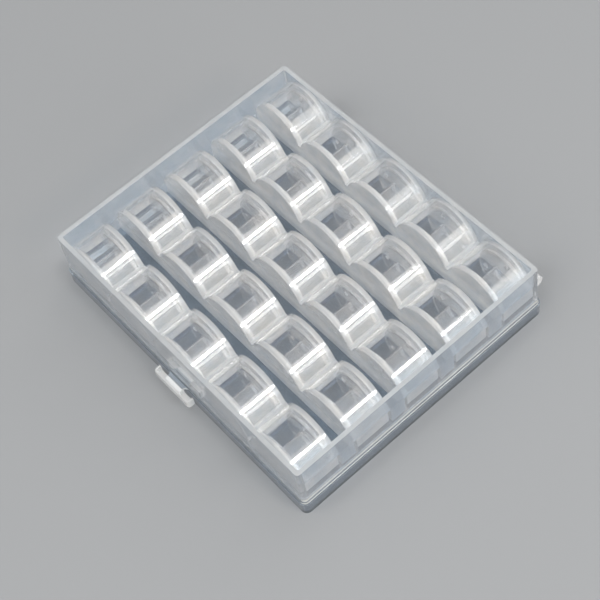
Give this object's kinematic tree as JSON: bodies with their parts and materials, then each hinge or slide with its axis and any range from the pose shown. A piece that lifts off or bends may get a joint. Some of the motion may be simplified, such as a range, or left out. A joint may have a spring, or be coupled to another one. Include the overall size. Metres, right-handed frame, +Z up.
{
  "type": "bobbin storage box",
  "caption": "Clear and frosted plastic box for sewing bobbins: hinged lid, tray of half-round pockets, empty bobbins inside.",
  "frame": {"origin": "middle of the box's outline on the outer face of the lid, which the box lies on", "axes": "+Z up, from the lid towards the tray's base rim; +X along the long side, in the direction of the pocket rows; +Y towards the hinge, with the finger tab on -Y"},
  "size_m": [0.1244, 0.1125, 0.0253],
  "materials": {
    "lid_clear": "clear polished mouldings",
    "tray_frosted": "natural milky polypropylene, smooth",
    "bobbin_clear": "clear polished mouldings"
  },
  "bodies": {
    "lid": {"lid": "lid_clear"},
    "tray": {"tray": "tray_frosted"},
    "bobbin_r1_c1": {"bobbin_r1_c1": "bobbin_clear"},
    "bobbin_r1_c2": {"bobbin_r1_c2": "bobbin_clear"},
    "bobbin_r1_c3": {"bobbin_r1_c3": "bobbin_clear"},
    "bobbin_r1_c4": {"bobbin_r1_c4": "bobbin_clear"},
    "bobbin_r1_c5": {"bobbin_r1_c5": "bobbin_clear"},
    "bobbin_r2_c1": {"bobbin_r2_c1": "bobbin_clear"},
    "bobbin_r2_c2": {"bobbin_r2_c2": "bobbin_clear"},
    "bobbin_r2_c3": {"bobbin_r2_c3": "bobbin_clear"},
    "bobbin_r2_c4": {"bobbin_r2_c4": "bobbin_clear"},
    "bobbin_r2_c5": {"bobbin_r2_c5": "bobbin_clear"},
    "bobbin_r3_c1": {"bobbin_r3_c1": "bobbin_clear"},
    "bobbin_r3_c2": {"bobbin_r3_c2": "bobbin_clear"},
    "bobbin_r3_c3": {"bobbin_r3_c3": "bobbin_clear"},
    "bobbin_r3_c4": {"bobbin_r3_c4": "bobbin_clear"},
    "bobbin_r3_c5": {"bobbin_r3_c5": "bobbin_clear"},
    "bobbin_r4_c1": {"bobbin_r4_c1": "bobbin_clear"},
    "bobbin_r4_c2": {"bobbin_r4_c2": "bobbin_clear"},
    "bobbin_r4_c3": {"bobbin_r4_c3": "bobbin_clear"},
    "bobbin_r4_c4": {"bobbin_r4_c4": "bobbin_clear"},
    "bobbin_r4_c5": {"bobbin_r4_c5": "bobbin_clear"},
    "bobbin_r5_c1": {"bobbin_r5_c1": "bobbin_clear"},
    "bobbin_r5_c2": {"bobbin_r5_c2": "bobbin_clear"},
    "bobbin_r5_c3": {"bobbin_r5_c3": "bobbin_clear"},
    "bobbin_r5_c4": {"bobbin_r5_c4": "bobbin_clear"},
    "bobbin_r5_c5": {"bobbin_r5_c5": "bobbin_clear"}
  },
  "joints": [
    {"name": "tray_hinge", "type": "hinge", "parent": "lid", "child": "tray", "pos_m": [0, 0.055, 0.0075], "axis": [-1, 0, 0], "range_deg": [0, 120]},
    {"name": "bobbin_r1_c1_spin", "type": "hinge", "parent": "tray", "child": "bobbin_r1_c1", "pos_m": [-0.0482, -0.042, 0.01195], "axis": [0, 1, 0], "continuous": true},
    {"name": "bobbin_r1_c2_spin", "type": "hinge", "parent": "tray", "child": "bobbin_r1_c2", "pos_m": [-0.0241, -0.042, 0.01195], "axis": [0, 1, 0], "continuous": true},
    {"name": "bobbin_r1_c3_spin", "type": "hinge", "parent": "tray", "child": "bobbin_r1_c3", "pos_m": [0, -0.042, 0.01195], "axis": [0, 1, 0], "continuous": true},
    {"name": "bobbin_r1_c4_spin", "type": "hinge", "parent": "tray", "child": "bobbin_r1_c4", "pos_m": [0.0241, -0.042, 0.01195], "axis": [0, 1, 0], "continuous": true},
    {"name": "bobbin_r1_c5_spin", "type": "hinge", "parent": "tray", "child": "bobbin_r1_c5", "pos_m": [0.0482, -0.042, 0.01195], "axis": [0, 1, 0], "continuous": true},
    {"name": "bobbin_r2_c1_spin", "type": "hinge", "parent": "tray", "child": "bobbin_r2_c1", "pos_m": [-0.0482, -0.021, 0.01195], "axis": [0, 1, 0], "continuous": true},
    {"name": "bobbin_r2_c2_spin", "type": "hinge", "parent": "tray", "child": "bobbin_r2_c2", "pos_m": [-0.0241, -0.021, 0.01195], "axis": [0, 1, 0], "continuous": true},
    {"name": "bobbin_r2_c3_spin", "type": "hinge", "parent": "tray", "child": "bobbin_r2_c3", "pos_m": [0, -0.021, 0.01195], "axis": [0, 1, 0], "continuous": true},
    {"name": "bobbin_r2_c4_spin", "type": "hinge", "parent": "tray", "child": "bobbin_r2_c4", "pos_m": [0.0241, -0.021, 0.01195], "axis": [0, 1, 0], "continuous": true},
    {"name": "bobbin_r2_c5_spin", "type": "hinge", "parent": "tray", "child": "bobbin_r2_c5", "pos_m": [0.0482, -0.021, 0.01195], "axis": [0, 1, 0], "continuous": true},
    {"name": "bobbin_r3_c1_spin", "type": "hinge", "parent": "tray", "child": "bobbin_r3_c1", "pos_m": [-0.0482, 0, 0.01195], "axis": [0, 1, 0], "continuous": true},
    {"name": "bobbin_r3_c2_spin", "type": "hinge", "parent": "tray", "child": "bobbin_r3_c2", "pos_m": [-0.0241, 0, 0.01195], "axis": [0, 1, 0], "continuous": true},
    {"name": "bobbin_r3_c3_spin", "type": "hinge", "parent": "tray", "child": "bobbin_r3_c3", "pos_m": [0, 0, 0.01195], "axis": [0, 1, 0], "continuous": true},
    {"name": "bobbin_r3_c4_spin", "type": "hinge", "parent": "tray", "child": "bobbin_r3_c4", "pos_m": [0.0241, 0, 0.01195], "axis": [0, 1, 0], "continuous": true},
    {"name": "bobbin_r3_c5_spin", "type": "hinge", "parent": "tray", "child": "bobbin_r3_c5", "pos_m": [0.0482, 0, 0.01195], "axis": [0, 1, 0], "continuous": true},
    {"name": "bobbin_r4_c1_spin", "type": "hinge", "parent": "tray", "child": "bobbin_r4_c1", "pos_m": [-0.0482, 0.021, 0.01195], "axis": [0, 1, 0], "continuous": true},
    {"name": "bobbin_r4_c2_spin", "type": "hinge", "parent": "tray", "child": "bobbin_r4_c2", "pos_m": [-0.0241, 0.021, 0.01195], "axis": [0, 1, 0], "continuous": true},
    {"name": "bobbin_r4_c3_spin", "type": "hinge", "parent": "tray", "child": "bobbin_r4_c3", "pos_m": [0, 0.021, 0.01195], "axis": [0, 1, 0], "continuous": true},
    {"name": "bobbin_r4_c4_spin", "type": "hinge", "parent": "tray", "child": "bobbin_r4_c4", "pos_m": [0.0241, 0.021, 0.01195], "axis": [0, 1, 0], "continuous": true},
    {"name": "bobbin_r4_c5_spin", "type": "hinge", "parent": "tray", "child": "bobbin_r4_c5", "pos_m": [0.0482, 0.021, 0.01195], "axis": [0, 1, 0], "continuous": true},
    {"name": "bobbin_r5_c1_spin", "type": "hinge", "parent": "tray", "child": "bobbin_r5_c1", "pos_m": [-0.0482, 0.042, 0.01195], "axis": [0, 1, 0], "continuous": true},
    {"name": "bobbin_r5_c2_spin", "type": "hinge", "parent": "tray", "child": "bobbin_r5_c2", "pos_m": [-0.0241, 0.042, 0.01195], "axis": [0, 1, 0], "continuous": true},
    {"name": "bobbin_r5_c3_spin", "type": "hinge", "parent": "tray", "child": "bobbin_r5_c3", "pos_m": [0, 0.042, 0.01195], "axis": [0, 1, 0], "continuous": true},
    {"name": "bobbin_r5_c4_spin", "type": "hinge", "parent": "tray", "child": "bobbin_r5_c4", "pos_m": [0.0241, 0.042, 0.01195], "axis": [0, 1, 0], "continuous": true},
    {"name": "bobbin_r5_c5_spin", "type": "hinge", "parent": "tray", "child": "bobbin_r5_c5", "pos_m": [0.0482, 0.042, 0.01195], "axis": [0, 1, 0], "continuous": true}
  ]
}
